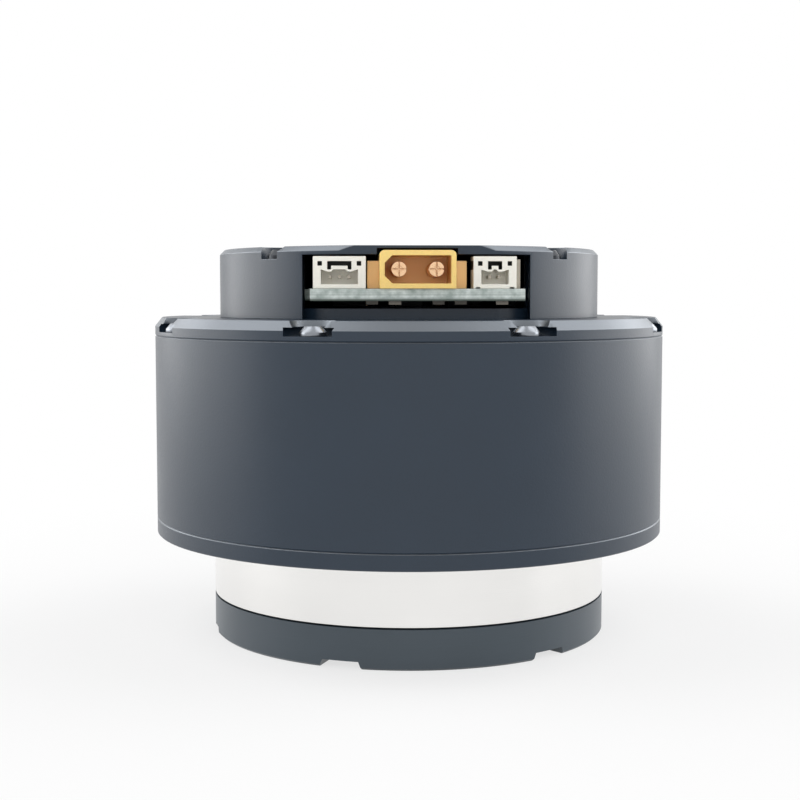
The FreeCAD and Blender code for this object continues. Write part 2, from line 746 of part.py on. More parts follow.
def sun_and_planets():
    """The sun gear on the shaft's nose, and the planets with their bushes on the carrier's pins."""
    module, relief = number("gear_module"), number("tip_relief")
    bottom, top = number("planet_bottom"), number("planet_top")
    sun_teeth, planet_teeth = int(number("sun_teeth")), int(number("planet_teeth"))
    sun_pitch, planet_pitch = module * sun_teeth / 2, module * planet_teeth / 2
    planet_angle = number("planet_angle")
    half_step = 180 / sun_teeth
    sun = gear_prism(sun_teeth, sun_pitch + module, sun_pitch - module - relief, number("backlash"),
                     bottom, top, planet_angle + half_step)
    bore = Part.makeCylinder(number("nose_radius") + number("seat"), top - bottom,
                             FreeCAD.Vector(0, 0, bottom))
    shaped("sun_gear", sun.cut(bore))
    planet = gear_prism(planet_teeth, planet_pitch + module, planet_pitch - module - relief,
                        number("backlash"), bottom, top, 0.0)
    pin = number("pin_radius")
    bush_radius = pin + number("bush_wall")
    planet = planet.cut(Part.makeCylinder(bush_radius + number("seat"), top - bottom,
                                          FreeCAD.Vector(0, 0, bottom)))
    bush = tube(pin + number("running"), bush_radius, bottom, top)
    count = int(number("planet_count"))
    for index in range(count):
        angle = planet_angle + 360 * index / count
        centre = FreeCAD.Vector(number("planet_circle") * math.cos(math.radians(angle)),
                                number("planet_circle") * math.sin(math.radians(angle)), 0)
        place = FreeCAD.Placement(centre, FreeCAD.Rotation(FreeCAD.Vector(0, 0, 1), angle))
        shaped(f"planet_gear_{index + 1}", planet, place)
        shaped(f"planet_bush_{index + 1}", bush, place)


def planet_carrier():
    """The carrier: a front half on the output bearing with three pillars, and a plate that closes it."""
    pin_turn = number("planet_angle")
    pillar_turn = pin_turn + 180 / number("planet_count")
    front = Piece("carrier_front")
    front.ring([("0", "pilot_depth"), ("carrier_spigot_radius", "pilot_depth"),
                ("carrier_spigot_radius", "bearing_bottom"), ("journal_radius", "bearing_bottom"),
                ("journal_radius", "bearing_top"), ("carrier_radius", "bearing_top"),
                ("carrier_radius", "carrier_front_top"), ("0", "carrier_front_top")])
    pillar = front.circle(front.sketch("XY_Plane", "carrier_front_top", pillar_turn), "pillar_circle", "0",
                          "pillar_radius")
    front.repeated([front.padded(pillar, "carrier_rear_bottom - carrier_front_top")], "planet_count")
    front.holes("carrier_front_top", "pin_foot", "planet_circle", "pin_radius + seat", "planet_count",
                pin_turn)
    front.holes("carrier_rear_bottom", "fine_screw_length + seat", "pillar_circle",
                "fine_screw_radius + seat",
                "planet_count", pillar_turn)
    bolt_hole = front.circle(front.sketch("XY_Plane", "bearing_bottom", bolt_angle()), "flange_bolt_circle",
                             "0",
                             "bolt_radius + seat")
    front.repeated([front.pocketed(bolt_hole, "output_bearing_width", back=True)], "flange_bolt_count")
    rear = Piece("carrier_rear")
    rear.ring([("carrier_bearing_radius - bearing_lip", "carrier_rear_bottom"),
               ("carrier_radius", "carrier_rear_bottom"), ("carrier_radius", "carrier_rear_top"),
               ("carrier_bearing_radius + bearing_lip", "carrier_rear_top"),
               ("carrier_bearing_radius + bearing_lip", "carrier_bearing_top"),
               ("carrier_bearing_radius + seat", "carrier_bearing_top"),
               ("carrier_bearing_radius + seat", "carrier_bearing_bottom"),
               ("carrier_bearing_radius - bearing_lip", "carrier_bearing_bottom")])
    rear.holes("carrier_rear_top", "carrier_plate", "planet_circle", "pin_radius + seat", "planet_count",
               pin_turn)
    rear.holes("carrier_rear_top", "carrier_plate", "pillar_circle", "fine_screw_radius + seat",
               "planet_count", pillar_turn)
    pins = Piece("planet_pins")
    shank = pins.circle(pins.sketch("XY_Plane", "carrier_front_top - pin_foot + seat", pin_turn),
                        "planet_circle", "0", "pin_radius")
    length = "carrier_rear_top - carrier_front_top + pin_foot - 2 * seat"
    pins.repeated([pins.padded(shank, length)], "planet_count")
    washers = Piece("planet_washers")
    for level in ("carrier_front_top + seat", "carrier_rear_bottom - washer_thickness - seat"):
        disc = washers.sketch("XY_Plane", level, pin_turn)
        washers.circle(disc, "planet_circle", "0", "washer_radius")
        washers.circle(disc, "planet_circle", "0", "pin_radius + running")
        washers.repeated([washers.padded(disc, "washer_thickness")], "planet_count")
    screw_set("carrier_screws", "pillar_circle", "planet_count", "carrier_rear_top + seat", pillar_turn)


# ---------------------------------------------------------------- screws

def screw_set(label, circle, count, seat_level, turn, length="fine_screw_length", down=True):
    """Small button-head screws on a circle, heads on the level named, pointing down or up."""
    way = "-" if down else "+"
    head = "+" if down else "-"
    reach = f"{seat_level} {way} {length}"
    brow = f"{seat_level} {head} fine_head_height"
    piece = Piece(label)
    sketch = piece.outline(piece.sketch("XZ_Plane"), [
        (circle, reach), (f"{circle} + fine_screw_radius", reach),
        (f"{circle} + fine_screw_radius", seat_level), (f"{circle} + fine_head_radius", seat_level),
        (f"{circle} + fine_head_radius", f"{seat_level} {head} fine_head_skirt"),
        (f"{circle} + fine_brow_radius", brow), (circle, brow)])
    screw = piece.turned(sketch, about=circle)
    socket = piece.pocketed(hex_socket(piece, circle, brow, "fine_socket"), "fine_socket_depth",
                            back=not down)
    piece.repeated([screw, socket], count)
    piece.spun_to(turn)
    return piece


# ---------------------------------------------------------------- bearings and shaft

# The races' lands and the cages' edges stand this far from the balls' circle and middle, in ball radii.
RACE_LAND = 0.5
CAGE_EDGE = 0.8


def ball_bearing(prefix, outer_radius, circle, ball, count, bottoms, width):
    """Ball bearings on the shaft, one at each bottom level: two races, balls and a cage ring."""
    outer, inner = Piece(prefix + "_outer_races"), Piece(prefix + "_inner_races")
    balls, cage = Piece(prefix + "_balls"), Piece(prefix + "_cages")
    for bottom in bottoms:
        top = f"{bottom} + {width}"
        middle = f"{bottom} + {width} / 2"
        outer_land = f"{circle} + {ball} * {RACE_LAND}"
        inner_land = f"{circle} - {ball} * {RACE_LAND}"
        outer.ring([(outer_land, bottom), (outer_radius, bottom), (outer_radius, top), (outer_land, top)])
        inner.ring([("shaft_radius + seat", bottom), (inner_land, bottom), (inner_land, top),
                    ("shaft_radius + seat", top)])
        for race in (outer, inner):
            race.turned(race.circle(race.sketch("XZ_Plane"), circle, middle, f"{ball} + running"), cut=True)
        balls.repeated([ball_at(balls, circle, middle, ball)], count)
        low, high = f"{middle} - {ball} * {CAGE_EDGE}", f"{middle} + {ball} * {CAGE_EDGE}"
        near, far = f"{circle} - cage_wall / 2", f"{circle} + cage_wall / 2"
        cage.ring([(near, low), (far, low), (far, high), (near, high)])
        window = cage.circle(cage.sketch("YZ_Plane", f"{circle} - cage_wall"), "0", middle,
                             f"{ball} + running")
        cage.repeated([cage.pocketed(window, "cage_wall * 2", back=True)], count)


def ball_at(piece, across, up, radius):
    """A ball in the XZ plane, at a distance from the part's axis and a height."""
    before = piece.volume()
    ball = piece.body.newObject("PartDesign::AdditiveSphere", piece.body.Label + "_ball")
    ball.AttachmentSupport = [(piece.origin("XY_Plane"), "")]
    ball.MapMode = "FlatFace"
    ball.setExpression(".AttachmentOffset.Base.x", bound(across))
    ball.setExpression(".AttachmentOffset.Base.z", bound(up))
    ball.setExpression("Radius", bound(radius))
    piece.settle(before, False)
    return ball


def rotor():
    """The rotor: shaft, bell, magnets, the ring that retains the shaft and the encoder's magnet."""
    shaft = Piece("rotor_shaft")
    groove = "rear_bearing_top + seat"
    shaft.ring([("0", "planet_bottom"), ("nose_radius", "planet_bottom"),
                ("nose_radius", "planet_top + seat"),
                ("shaft_radius", "planet_top + seat"), ("shaft_radius", groove),
                ("shaft_radius - circlip_groove", groove),
                ("shaft_radius - circlip_groove", f"{groove} + circlip_thickness + 2 * seat"),
                ("shaft_radius", f"{groove} + circlip_thickness + 2 * seat"),
                ("shaft_radius", "shaft_top"), ("0", "shaft_top")])
    clip = Piece("shaft_circlip")
    clip.ring([("shaft_radius - circlip_groove + seat", f"{groove} + seat"),
               ("circlip_radius", f"{groove} + seat"),
               ("circlip_radius", f"{groove} + seat + circlip_thickness"),
               ("shaft_radius - circlip_groove + seat", f"{groove} + seat + circlip_thickness")])
    slot = clip.sketch("XY_Plane", "shaft_top + seat")
    clip.rectangle(slot, "0", "-circlip_thickness", "circlip_radius + seat", "circlip_thickness")
    clip.pocketed(slot, "shaft_end + seat")
    bell = Piece("rotor_bell")
    bell.ring([("shaft_radius + seat", "web_bottom"), ("bell_radius", "web_bottom"),
               ("bell_radius", "bell_top"),
               ("bell_bore", "bell_top"), ("bell_bore", "web_top"), ("bell_hub_radius", "web_top"),
               ("bell_hub_radius", "web_top + bell_hub_height"),
               ("shaft_radius + seat", "web_top + bell_hub_height")])
    bell.holes("web_top", "bell_web", "bell_window_circle", "bell_window_radius", "bell_window_count")
    magnets = Piece("rotor_magnets")
    magnet = magnets.outline(magnets.sketch("XZ_Plane"), [
        ("magnet_bore", "magnet_bottom"), ("bell_bore - seat", "magnet_bottom"),
        ("bell_bore - seat", "magnet_top"), ("magnet_bore", "magnet_top")])
    magnets.repeated([magnets.turned(magnet, angle="magnet_angle")], "magnet_count")
    encoder = Piece("encoder_magnet")
    encoder.ring([("0", "shaft_top"), ("encoder_magnet_radius", "shaft_top"),
                  ("encoder_magnet_radius", "shaft_top + encoder_magnet_height"),
                  ("0", "shaft_top + encoder_magnet_height")])


# ---------------------------------------------------------------- stator

def stator():
    """Laminated stator with one coil on each tooth, and the insulators between them."""
    core = Piece("stator_core")
    core.ring([("stator_hub_radius + seat", "stack_bottom"), ("yoke_radius", "stack_bottom"),
               ("yoke_radius", "stack_top"), ("stator_hub_radius + seat", "stack_top")])
    neck = core.sketch("XY_Plane", "stack_bottom")
    core.rectangle(neck, "yoke_radius - seam_edge", "-tooth_width / 2", "shoe_bore + seam_edge",
                   "tooth_width / 2")
    neck_pad = core.padded(neck, "stator_stack")
    shoe = core.outline(core.sketch("XZ_Plane"), [
        ("shoe_bore", "stack_bottom"), ("stator_radius", "stack_bottom"), ("stator_radius", "stack_top"),
        ("shoe_bore", "stack_top")])
    core.repeated([neck_pad, core.turned(shoe, angle="shoe_angle")], "stator_slots")
    insulators = Piece("stator_insulators")
    for level in ("stack_bottom - insulator_thickness - seat", "stack_top + seat"):
        insulators.ring([("stator_hub_radius + 0.5 * stator_yoke", level), ("yoke_radius", level),
                         ("yoke_radius", f"{level} + insulator_thickness"),
                         ("stator_hub_radius + 0.5 * stator_yoke", f"{level} + insulator_thickness")])
        finger = insulators.sketch("XY_Plane", level)
        insulators.rectangle(finger, "yoke_radius - seam_edge", "-tooth_width / 2", "shoe_bore",
                             "tooth_width / 2")
        insulators.repeated([insulators.padded(finger, "insulator_thickness")], "stator_slots")
    coils = Piece("stator_coils")
    half_inner = "(tooth_width / 2 + coil_side_gap)"
    low_inner = "(stack_bottom - insulator_thickness - 2 * seat)"
    high_inner = "(coil_top - coil_overhang + 2 * seat)"
    loop = coils.sketch("YZ_Plane", "yoke_radius + 2 * coil_side_gap")
    coils.outline(loop, bevelled(f"{half_inner} + coil_width", f"{low_inner} - coil_overhang",
                                 f"{high_inner} + coil_overhang", "coil_corner"))
    coils.rectangle(loop, f"-{half_inner}", low_inner, half_inner, high_inner)
    coil = coils.padded(loop, "shoe_bore - yoke_radius - 4 * coil_side_gap")
    coils.repeated([coil], "stator_slots")
    leads = Piece("phase_leads")
    for step in (-1, 0, 1):
        angle = 90 + step * number("phase_lead_angle")
        rod = leads.circle(leads.sketch("XY_Plane", "coil_top + 3 * seat", angle), "phase_lead_circle", "0",
                           "phase_lead_radius")
        leads.padded(rod, "board_top + passive_height - coil_top - 3 * seat")


def bevelled(half_width, low, high, corner):
    """The eight corners of an outline with cut-off corners, centred across the axis."""
    return [(f"-({half_width} - {corner})", low), (f"{half_width} - {corner}", low),
            (half_width, f"{low} + {corner}"), (half_width, f"{high} - {corner}"),
            (f"{half_width} - {corner}", high), (f"-({half_width} - {corner})", high),
            (f"-({half_width})", f"{high} - {corner}"), (f"-({half_width})", f"{low} + {corner}")]


# ---------------------------------------------------------------- housing

def front_cap():
    """The housing's front end: a rim flush with the shell, a spigot inside it, and the mounting holes."""
    piece = Piece("front_cap")
    piece.ring([("ring_spigot_radius + seat", "band_seat"), ("band_radius + running", "band_seat"),
                ("band_radius + running", "band_top"), ("housing_radius - seam_edge", "band_top"),
                ("housing_radius", "band_top + seam_edge"), ("housing_radius", "cap_seam - seam_edge"),
                ("housing_radius - seam_edge", "cap_seam"), ("spigot_radius", "cap_seam"),
                ("spigot_radius", "spigot_top"), ("spigot_bore", "spigot_top"),
                ("spigot_bore", "cap_floor_top"), ("ring_spigot_radius + seat", "cap_floor_top")])
    hole = piece.circle(piece.sketch("XY_Plane", "band_top", number("rim_screw_angle")), "mount_bolt_circle",
                        "0", "tapped_radius")
    piece.repeated([piece.pocketed(hole, "mount_bolt_depth", back=True)], "mount_bolt_count")
    piece.holes("cap_floor_top", "cap_floor", "ring_screw_circle", "fine_screw_radius + seat",
                "ring_screw_count")
    seat_hole = piece.circle(piece.sketch("XY_Plane", "band_top", number("front_screw_angle")),
                             "rim_screw_circle", "0", "fine_screw_radius + seat")
    counterbore = piece.circle(piece.sketch("XY_Plane", "band_top", number("front_screw_angle")),
                               "rim_screw_circle", "0", "fine_head_radius + 2 * seat")
    piece.repeated([piece.pocketed(counterbore, "fine_head_height + 2 * seat", back=True)],
                   "rim_screw_count")
    piece.repeated([piece.pocketed(seat_hole, "cap_rim", back=True)], "rim_screw_count")
    screw_set("ring_gear_screws", "ring_screw_circle", "ring_screw_count", "cap_floor_top + seat", 0.0)
    screw_set("front_screws", "rim_screw_circle", "rim_screw_count", "band_top + fine_head_height + seat",
              number("front_screw_angle"), length="front_screw_length", down=False)


def main_housing():
    """The dark shell round the motor, tapped at both ends for the cap's and the plate's screws."""
    piece = Piece("main_housing")
    piece.ring([("shell_bore", "cap_seam"), ("housing_radius - seam_edge", "cap_seam"),
                ("housing_radius", "cap_seam + seam_edge"), ("housing_radius", "shell_top - seam_edge"),
                ("housing_radius - seam_edge", "shell_top"), ("shell_bore", "shell_top")])
    piece.holes("shell_top", "fine_screw_length", "rim_screw_circle", "fine_screw_radius + seat",
                "rim_screw_count", number("rim_screw_angle"))
    hole = piece.circle(piece.sketch("XY_Plane", "cap_seam", number("front_screw_angle")),
                        "rim_screw_circle",
                        "0", "fine_screw_radius + seat")
    piece.repeated([piece.pocketed(hole, "front_screw_length", back=True)], "rim_screw_count")


def rear_plate():
    """The housing's rear end: the stator's hub below, and the register and board posts above."""
    piece = Piece("rear_plate")
    seat_bore = "rotor_bearing_radius + seat"
    shoulder = "rotor_bearing_radius - bearing_shoulder"
    piece.ring([(seat_bore, "front_bearing_bottom - 2 * seam_edge"),
                ("stator_hub_radius", "front_bearing_bottom - 2 * seam_edge"),
                ("stator_hub_radius", "stack_top"),
                ("stator_hub_radius + 0.4 * stator_yoke", "stack_top"),
                ("stator_hub_radius + 0.4 * stator_yoke", "plate_underside"),
                ("shell_bore - housing_wall / 2", "plate_underside"),
                ("shell_bore - housing_wall / 2", "plate_spigot_bottom"),
                ("spigot_radius", "plate_spigot_bottom"),
                ("spigot_radius", "shell_top"), ("housing_radius - seam_edge", "shell_top"),
                ("housing_radius", "shell_top + seam_edge"), ("housing_radius",
                                                              "plate_top - plate_edge_height"),
                ("housing_radius - plate_edge_width", "plate_top"), ("register_radius", "plate_top"),
                ("register_radius", "register_top"), ("register_bore", "register_top"),
                ("register_bore", "plate_floor"), (seat_bore, "plate_floor"),
                (seat_bore, "rear_bearing_bottom"), (shoulder, "rear_bearing_bottom"),
                (shoulder, "front_bearing_top"), (seat_bore, "front_bearing_top")])
    posts = piece.sketch("XY_Plane", "plate_floor")
    post_holes = piece.sketch("XY_Plane", "board_bottom")
    for across, up in post_places():
        piece.circle(posts, across, up, "post_radius")
        piece.circle(post_holes, across, up, "fine_screw_radius + seat")
    piece.padded(posts, "board_bottom - plate_floor")
    piece.pocketed(post_holes, "board_bottom - plate_floor")
    pocket = piece.outline(piece.sketch("XZ_Plane", turn=number("rim_screw_angle")), [
        ("rim_screw_circle", "rim_pocket_bottom"), ("rim_screw_circle + rim_pocket_floor",
                                                    "rim_pocket_bottom"),
        ("rim_screw_circle + rim_pocket_floor + rim_pocket_flare", "plate_top + seat"),
        ("rim_screw_circle", "plate_top + seat")])
    piece.repeated([piece.turned(pocket, about="rim_screw_circle", cut=True)], "rim_screw_count")
    piece.holes("rim_pocket_bottom", "rim_pocket_bottom - shell_top + seat", "rim_screw_circle",
                "fine_screw_radius + seat", "rim_screw_count", number("rim_screw_angle"))
    facet = piece.sketch("XY_Plane", "register_top + seat")
    piece.rectangle(facet, "-register_facet / 2", "-register_radius - seat", "register_facet / 2",
                    "-register_facet")
    piece.pocketed(facet, "register_height + seat")
    piece.holes("register_top", "fine_screw_length", "column_circle", "fine_screw_radius + seat",
                "cover_screw_count", number("cover_screw_angle"))
    for step in (-1, 0, 1):
        angle = 90 + step * number("phase_lead_angle")
        hole = piece.circle(piece.sketch("XY_Plane", "register_top", angle), "phase_lead_circle", "0",
                            "phase_hole_radius")
        piece.pocketed(hole, "register_top - plate_underside")
    screw_set("rear_screws", "rim_screw_circle", "rim_screw_count", "rim_pocket_bottom + seat",
              number("rim_screw_angle"))


def cover():
    """The driver's cover: a shallow cup with a wide window for the sockets and four screw pockets."""
    piece = Piece("cover")
    piece.ring([("cover_radius - cover_wall", "plate_top"), ("cover_radius", "plate_top"),
                ("cover_radius", "cover_top - cover_edge"), ("cover_radius - cover_edge", "cover_top"),
                ("0", "cover_top"), ("0", "cover_ceiling"), ("cover_radius - cover_wall", "cover_ceiling")])
    column = piece.sketch("XY_Plane", "register_top + seat", number("cover_screw_angle"))
    piece.circle(column, "column_circle", "0", "column_radius")
    column_pad = piece.padded(column, "cover_ceiling - register_top")
    piece.repeated([column_pad], "cover_screw_count")
    trim_columns(piece)
    piece.holes("cover_top", "cover_pocket_depth", "column_circle", "cover_pocket_radius",
                "cover_screw_count", number("cover_screw_angle"))
    piece.holes("cover_pocket_bottom", "cover_pocket_bottom - plate_top + seat", "column_circle",
                "fine_screw_radius + seat", "cover_screw_count", number("cover_screw_angle"))
    window = piece.sketch("XZ_Plane", "cover_radius + seat")
    piece.rectangle(window, "-window_width / 2", "plate_top", "window_width / 2", "cover_ceiling")
    piece.pocketed(window, "cover_radius - board_radius + cover_wall * 2", back=False)
    facet = piece.sketch("XY_Plane", "cover_top + seat")
    piece.rectangle(facet, "-window_width / 2", "-cover_radius - seat", "window_width / 2", "-cover_facet")
    piece.pocketed(facet, "cover_height")
    relief = piece.sketch("XY_Plane", "cover_ceiling")
    piece.rectangle(relief, "-power_width / 2 - power_relief", "-cover_facet - seat",
                    "power_width / 2 + power_relief", "-power_front + power_depth + power_relief")
    piece.pocketed(relief, "power_top + power_relief - cover_ceiling", back=True)
    screw_set("cover_screws", "column_circle", "cover_screw_count", "cover_pocket_bottom + seat",
              number("cover_screw_angle"),
              length="cover_screw_length")


def trim_columns(piece):
    """Cut away what the corner columns would add outside the cover's wall."""
    sketch = piece.sketch("XY_Plane", "cover_top")
    piece.circle(sketch, "0", "0", "cover_radius")
    piece.circle(sketch, "0", "0", "cover_radius + column_radius * 2")
    piece.pocketed(sketch, "cover_height")


# ---------------------------------------------------------------- driver board and sockets

def on_circle(circle, angle):
    """A place on a named circle, as a pair of formulas."""
    turn = math.radians(angle)
    return f"{circle} * {math.cos(turn):.6f} + 0", f"{circle} * {math.sin(turn):.6f} + 0"


def post_places():
    """The four posts that carry the board, as two mirrored pairs."""
    lean = number("post_angle")
    return [on_circle("post_circle", angle) for angle in (lean, 180 - lean, 180 + lean, -lean)]


def block_set(label, places, bottom, height, width, length):
    """Equal blocks on the board, centred at the places."""
    piece = Piece(label)
    sketch = piece.sketch("XY_Plane", bottom)
    for across, up in places:
        piece.rectangle(sketch, f"{across} - {width} / 2", f"{up} - {length} / 2",
                        f"{across} + {width} / 2", f"{up} + {length} / 2")
    piece.padded(sketch, height)
    return piece


def driver_board():
    """The round driver board with its tab in the window, and the parts soldered to it."""
    board = Piece("driver_board")
    disc = board.circle(board.sketch("XY_Plane", "board_bottom"), "0", "0", "board_radius")
    board.padded(disc, "board_thickness")
    tab = board.sketch("XY_Plane", "board_bottom")
    board.rectangle(tab, "-board_tab_width / 2", "-board_front", "board_tab_width / 2", "-board_radius / 3")
    board.padded(tab, "board_thickness")
    board.holes("board_top", "board_thickness", "column_circle", "board_scallop", "cover_screw_count",
                number("cover_screw_angle"))
    screw_holes = board.sketch("XY_Plane", "board_top")
    for across, up in post_places():
        board.circle(screw_holes, across, up, "fine_screw_radius + seat")
    for step in (-1, 0, 1):
        across, up = on_circle("phase_lead_circle", 90 + step * number("phase_lead_angle"))
        board.circle(screw_holes, across, up, "phase_lead_radius + seat")
    board.pocketed(screw_holes, "board_thickness")
    board_screws()
    block_set("mosfets", [(f"mosfet_pitch * {step}", row) for step in (-1, 0, 1)
                          for row in ("mosfet_row", "mosfet_row + mosfet_step")],
              "board_bottom - mosfet_height - seat", "mosfet_height", "mosfet_size", "mosfet_size")
    block_set("encoder_chip", [("0", "0")], "board_bottom - chip_height - seat", "chip_height",
              "encoder_size", "encoder_size")
    block_set("control_chips", [(f"control_pitch * {step}", "control_row") for step in (-1, 0, 1)],
              "board_top + seat", "chip_height", "control_size", "control_size")
    edge_row = "passive_setback - board_front"
    block_set("ceramic_capacitors", [("-passive_left", edge_row), ("passive_right", edge_row)] + [
        (f"passive_pitch * {step}", f"{edge_row} + passive_pitch") for step in (-2, -1, 1, 2)],
              "board_bottom - passive_height - seat", "passive_height", "passive_length", "passive_width")
    cans = Piece("bulk_capacitors")
    sketch = cans.sketch("XY_Plane", "board_top + seat")
    for step in (-3, -1, 1, 3):
        cans.circle(sketch, f"can_pitch * {step} / 2", "-can_row", "capacitor_radius")
    cans.padded(sketch, "capacitor_height")


def board_screws():
    """Four screws through the board into its posts."""
    piece = Piece("board_screws")
    head = piece.sketch("XY_Plane", "board_top + seat")
    shank = piece.sketch("XY_Plane", "board_top + seat")
    for across, up in post_places():
        piece.circle(head, across, up, "fine_head_radius")
        piece.circle(shank, across, up, "fine_screw_radius")
    piece.padded(head, "fine_head_height")
    piece.padded(shank, "board_top - plate_floor", back=True)


def power_socket():
    """The two-pin power socket: a keyed shroud with ears behind it, and its pins."""
    body = Piece("power_socket")
    shroud = body.sketch("XZ_Plane", "power_front")
    low = "board_top + seat"
    body.rectangle(shroud, "-power_width / 2", low, "power_width / 2", "power_top")
    body.rounded(body.padded(shroud, "power_depth", back=True), "power_corner", number("power_top"))
    ears = body.sketch("XZ_Plane", "power_ear_front")
    body.rectangle(ears, "-power_ear_width / 2", low, "power_ear_width / 2", "board_top + power_ear_height")
    body.padded(ears, "power_ear_depth", back=True)
    cavity = body.sketch("XZ_Plane", "power_front")
    inner_half = "(power_width / 2 - power_wall)"
    inner_low, inner_high = "(board_top + power_wall)", "(power_top - power_wall)"
    body.outline(cavity, [(f"-{inner_half} + power_key", inner_low), (inner_half, inner_low),
                          (inner_half, inner_high), (f"-{inner_half} + power_key", inner_high),
                          (f"-{inner_half}", f"{inner_high} - power_key"),
                          (f"-{inner_half}", f"{inner_low} + power_key")])
    body.pocketed(cavity, "power_cavity_depth")
    sockets = body.sketch("XZ_Plane", "power_front - power_cavity_depth")
    pins = Piece("power_pins")
    shanks = pins.sketch("XZ_Plane", "power_front - power_pin_recess")
    for across in ("power_pin_pitch / 2", "-power_pin_pitch / 2"):
        body.circle(sockets, across, "power_pin_level", "power_pin_radius + seat")
        pins.circle(shanks, across, "power_pin_level", "power_pin_radius")
    body.pocketed(sockets, "power_depth - power_cavity_depth")
    pins.padded(shanks, "power_depth + power_pin_recess", back=True)
    legs = pins.sketch("XY_Plane", "power_pin_level")
    feet = board_feet()
    for across in ("power_pin_pitch / 2", "-power_pin_pitch / 2"):
        pins.circle(legs, across, feet, "power_leg_radius")
    pins.padded(legs, "power_pin_height - seat", back=True)


def board_feet():
    """Where the power pins turn down to the board, just behind the socket."""
    return "-power_front + power_depth + power_pin_radius"


def signal_socket(label, centre, width, slot_width, contacts):
    """A small latching socket: a cavity for the plug, a latch slot dipping into it, and corner holes."""
    body = Piece(label)
    front = body.sketch("XZ_Plane", "signal_front")
    left, right = f"{centre} - {width} / 2", f"{centre} + {width} / 2"
    body.rectangle(front, left, "board_top + seat", right, "signal_top")
    body.padded(front, "signal_depth", back=True)
    latch_slot(body, centre, slot_width)
    body.pocketed(plug_cavity(body, centre, width, slot_width), "signal_cavity_depth")
    holes = body.sketch("XZ_Plane", "signal_front")
    for start in (f"{left} + signal_floor", f"{right} - signal_floor - signal_hole"):
        body.rectangle(holes, start, "signal_ceiling - signal_hole", f"{start} + signal_hole",
                       "signal_ceiling")
    body.pocketed(holes, "signal_hole_depth")
    pins = Piece(label + "_contacts")
    rods = pins.sketch("XZ_Plane", "signal_front - signal_cavity_depth + seat")
    level = "board_top + signal_floor + signal_cavity_height / 2"
    for step in range(contacts):
        middle = f"{centre} + signal_pitch * {step - (contacts - 1) / 2}"
        pins.rectangle(rods, f"{middle} - signal_contact / 2", f"{level} - signal_contact / 2",
                       f"{middle} + signal_contact / 2", f"{level} + signal_contact / 2")
    pins.padded(rods, "signal_contact_length")
    return body, pins


def latch_slot(body, centre, slot_width):
    """The slot for the plug's latch, with a leg down at each end."""
    low, foot = "signal_ceiling - signal_slot_height", "signal_slot_foot"
    outer, inner = f"{slot_width} / 2", f"({slot_width} / 2 - signal_slot_leg_width)"
    slot = body.sketch("XZ_Plane", "signal_front")
    body.outline(slot, [(f"{centre} - {outer}", "signal_ceiling"), (f"{centre} - {outer}", foot),
                        (f"{centre} - {inner}", foot), (f"{centre} - {inner}", low),
                        (f"{centre} + {inner}", low), (f"{centre} + {inner}", foot),
                        (f"{centre} + {outer}", foot), (f"{centre} + {outer}", "signal_ceiling")])
    body.pocketed(slot, "signal_cavity_depth")


def plug_cavity(body, centre, width, slot_width):
    """The plug's cavity, whose top edge dips under the slot's two legs and rises between them."""
    half = f"({width} / 2 - signal_side)"
    outer, inner = f"{slot_width} / 2", f"({slot_width} / 2 - signal_slot_leg_width - signal_slot_rim)"
    low, dip = "board_top + signal_floor", "signal_slot_foot - signal_slot_rim"
    high = f"{low} + signal_cavity_height"
    cavity = body.sketch("XZ_Plane", "signal_front")
    return body.outline(cavity, [
        (f"{centre} - {half}", low), (f"{centre} + {half}", low), (f"{centre} + {half}", high),
        (f"{centre} + {outer}", dip), (f"{centre} + {inner} + signal_slot_rim", dip),
        (f"{centre} + {inner}", high), (f"{centre} - {inner}", high),
        (f"{centre} - {inner} - signal_slot_rim", dip), (f"{centre} - {outer}", dip),
        (f"{centre} - {half}", high)])


def signal_sockets():
    """The wide socket, and the narrow one with cut-back feet and a solder tab at its outer side."""
    signal_socket("signal_socket_wide", "wide_socket_x", "wide_socket_width", "wide_slot_width", 3)
    body, pins = signal_socket("signal_socket_narrow", "narrow_socket_x", "narrow_socket_width",
                               "narrow_slot_width", 2)
    edge = "narrow_socket_x + narrow_socket_width / 2"
    feet = body.sketch("XZ_Plane", "signal_front")
    for start in ("narrow_socket_x - narrow_socket_width / 2 + signal_foot_width / 2",
                  f"{edge} - signal_foot_width * 1.5"):
        body.rectangle(feet, start, "board_top", f"{start} + signal_foot_width",
                       "board_top + signal_foot_height")
    body.pocketed(feet, "signal_hole_depth")
    tab = pins.sketch("XZ_Plane", "signal_front - signal_tab_setback")
    pins.rectangle(tab, f"{edge} + seat", "board_top + seat", f"{edge} + signal_tab_width",
                   "board_top + signal_tab_height")
    pins.padded(tab, "signal_tab_width", back=True)


output_flange()
flange_bolts()
output_bearing()
output_seal()
ring_gear()
sun_and_planets()
planet_carrier()
ball_bearing("carrier_bearing", "carrier_bearing_radius", "carrier_ball_circle", "carrier_ball_radius",
             "carrier_ball_count", ["carrier_bearing_bottom"], "carrier_bearing_width")
ball_bearing("rotor_bearing", "rotor_bearing_radius", "ball_circle", "ball_radius", "ball_count",
             ["front_bearing_bottom", "rear_bearing_bottom"], "rotor_bearing_width")
rotor()
stator()
front_cap()
main_housing()
rear_plate()
cover()
driver_board()
power_socket()
signal_sockets()

doc.recompute()
for item in doc.Objects:
    if "Invalid" in item.State or "Error" in item.State:
        raise RuntimeError(f"{item.Label} failed: {item.State}")
for piece_object in pieces:
    if piece_object.Shape.isNull() or not piece_object.Shape.isValid():
        raise RuntimeError(f"{piece_object.Label} has no valid shape")
os.makedirs("parts", exist_ok=True)
for piece_object in pieces:
    piece_object.Shape.exportStep(f"parts/{piece_object.Label}.step")
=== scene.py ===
import json
import math

import bmesh
import bpy
from mathutils import Matrix, Vector

